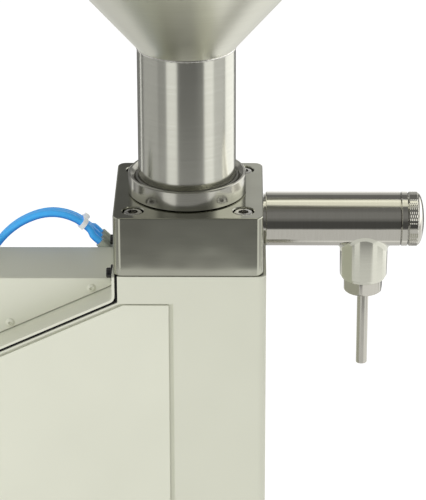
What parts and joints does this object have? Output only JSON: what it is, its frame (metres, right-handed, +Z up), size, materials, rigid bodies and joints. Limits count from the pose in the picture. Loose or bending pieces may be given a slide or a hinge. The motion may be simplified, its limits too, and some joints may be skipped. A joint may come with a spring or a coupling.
{
  "type": "piston paste filling machine",
  "caption": "Desktop air-driven piston filler: funnel hopper on a steel valve block, side discharge arm with a small nozzle, painted sheet cabinet with slanted deck and controls.",
  "frame": {"origin": "centre of the bounding box on the surface that the feet stand on", "axes": "+X from the cabinet to the discharge nozzle, +Y away from the operator, +Z up along the hopper's axis"},
  "size_m": [0.3786, 0.3136, 0.6399],
  "materials": {
    "satin_stainless": "satin stainless steel, turned and lightly brushed",
    "polished_stainless": "polished stainless steel",
    "ground_steel": "ground stainless steel",
    "cream_grey_paint": "cream grey powder coat on steel sheet",
    "hood_paint": "cream grey powder coat on steel sheet",
    "black_rubber": "moulded black rubber",
    "white_seal": "white food seal",
    "anodised_aluminium": "clear anodised",
    "black_plastic": "moulded black plastic",
    "green_plastic": "moulded green plastic",
    "grey_green_fitting": "moulded grey green plastic",
    "blue_polyurethane": "extruded blue polyurethane tube",
    "plated_brass": "nickel plated brass"
  },
  "bodies": {
    "cabinet": {"foot_front_left": "black_rubber", "foot_front_right": "black_rubber", "foot_rear_left": "black_rubber", "foot_rear_right": "black_rubber", "base_plate": "ground_steel", "cabinet_shell": "cream_grey_paint", "front_cover": "cream_grey_paint", "rear_cover": "cream_grey_paint", "deck": "cream_grey_paint", "deck_gasket": "black_rubber", "hood": "hood_paint", "control_panel": "hood_paint", "column_top_plate": "anodised_aluminium", "valve_block": "polished_stainless", "block_screw_1": "ground_steel", "block_screw_2": "ground_steel", "block_screw_3": "ground_steel", "block_screw_4": "ground_steel", "hopper": "satin_stainless", "neck_collar": "polished_stainless", "neck_oring": "black_rubber", "inlet_guide": "ground_steel", "inlet_spring": "ground_steel", "metering_cylinder": "satin_stainless", "neck_tube": "satin_stainless", "cylinder_mount_plate": "anodised_aluminium", "air_cylinder_head": "anodised_aluminium", "air_cylinder_base": "anodised_aluminium", "air_cylinder_barrel": "anodised_aluminium", "discharge_arm": "polished_stainless", "nozzle_nut": "polished_stainless", "nozzle": "polished_stainless", "arm_end_ring": "polished_stainless", "arm_cap": "polished_stainless", "outlet_spring": "ground_steel", "button_bezel": "ground_steel", "air_regulator": "anodised_aluminium", "pressure_gauge": "ground_steel", "control_valve": "anodised_aluminium", "air_inlet": "plated_brass", "fitting_rail_right": "grey_green_fitting", "fitting_rail_left": "grey_green_fitting", "air_hose_1": "blue_polyurethane", "air_hose_2": "blue_polyurethane", "air_hose_3": "blue_polyurethane"},
    "drive": {"metering_piston": "ground_steel", "piston_seal_upper": "white_seal", "piston_seal_lower": "white_seal", "piston_rod": "ground_steel", "rod_coupling": "ground_steel", "air_piston": "black_plastic", "air_cylinder_rod": "ground_steel"},
    "dose_nut": {"dose_nut": "black_plastic"},
    "inlet_valve": {"inlet_poppet": "ground_steel", "inlet_keeper": "ground_steel"},
    "outlet_valve": {"outlet_poppet": "ground_steel"},
    "start_button": {"start_button": "green_plastic"},
    "mode_switch": {"mode_switch": "black_plastic"},
    "regulator_knob": {"regulator_knob": "black_plastic"},
    "gauge_needle": {"gauge_needle": "black_plastic"}
  },
  "joints": [
    {"name": "piston_stroke", "type": "slide", "parent": "cabinet", "child": "drive", "axis": [0, 0, 1], "range_m": [0, 0.04]},
    {"name": "dose_nut_turn", "type": "hinge", "parent": "drive", "child": "dose_nut", "pos_m": [0.0325, 0, 0.0425], "axis": [0, 0, 1], "continuous": true},
    {"name": "inlet_valve_lift", "type": "slide", "parent": "cabinet", "child": "inlet_valve", "axis": [0, 0, -1], "range_m": [0, 0.006], "stiffness_N_per_m": 500, "springref_m": -0.01, "deforming": ["inlet_spring"]},
    {"name": "outlet_valve_lift", "type": "slide", "parent": "cabinet", "child": "outlet_valve", "axis": [1, 0, 0], "range_m": [0, 0.008], "stiffness_N_per_m": 400, "springref_m": -0.01, "deforming": ["outlet_spring"]},
    {"name": "start_button_press", "type": "slide", "parent": "cabinet", "child": "start_button", "axis": [0, 0, -1], "range_m": [0, 0.003], "stiffness_N_per_m": 400, "springref_m": -0.004},
    {"name": "mode_switch_turn", "type": "hinge", "parent": "cabinet", "child": "mode_switch", "pos_m": [-0.1145, 0, 0.2916], "axis": [0, 0, 1], "range_deg": [0, 90]},
    {"name": "regulator_turn", "type": "hinge", "parent": "cabinet", "child": "regulator_knob", "pos_m": [-0.1395, 0, 0.31], "axis": [0, 0, 1], "range_deg": [-720, 720]},
    {"name": "gauge_needle_swing", "type": "hinge", "parent": "cabinet", "child": "gauge_needle", "pos_m": [-0.17, 0, 0.2693], "axis": [1, 0, 0], "range_deg": [0, 270], "stiffness_Nm_per_rad": 0.00005, "springref_deg": -28.65}
  ]
}
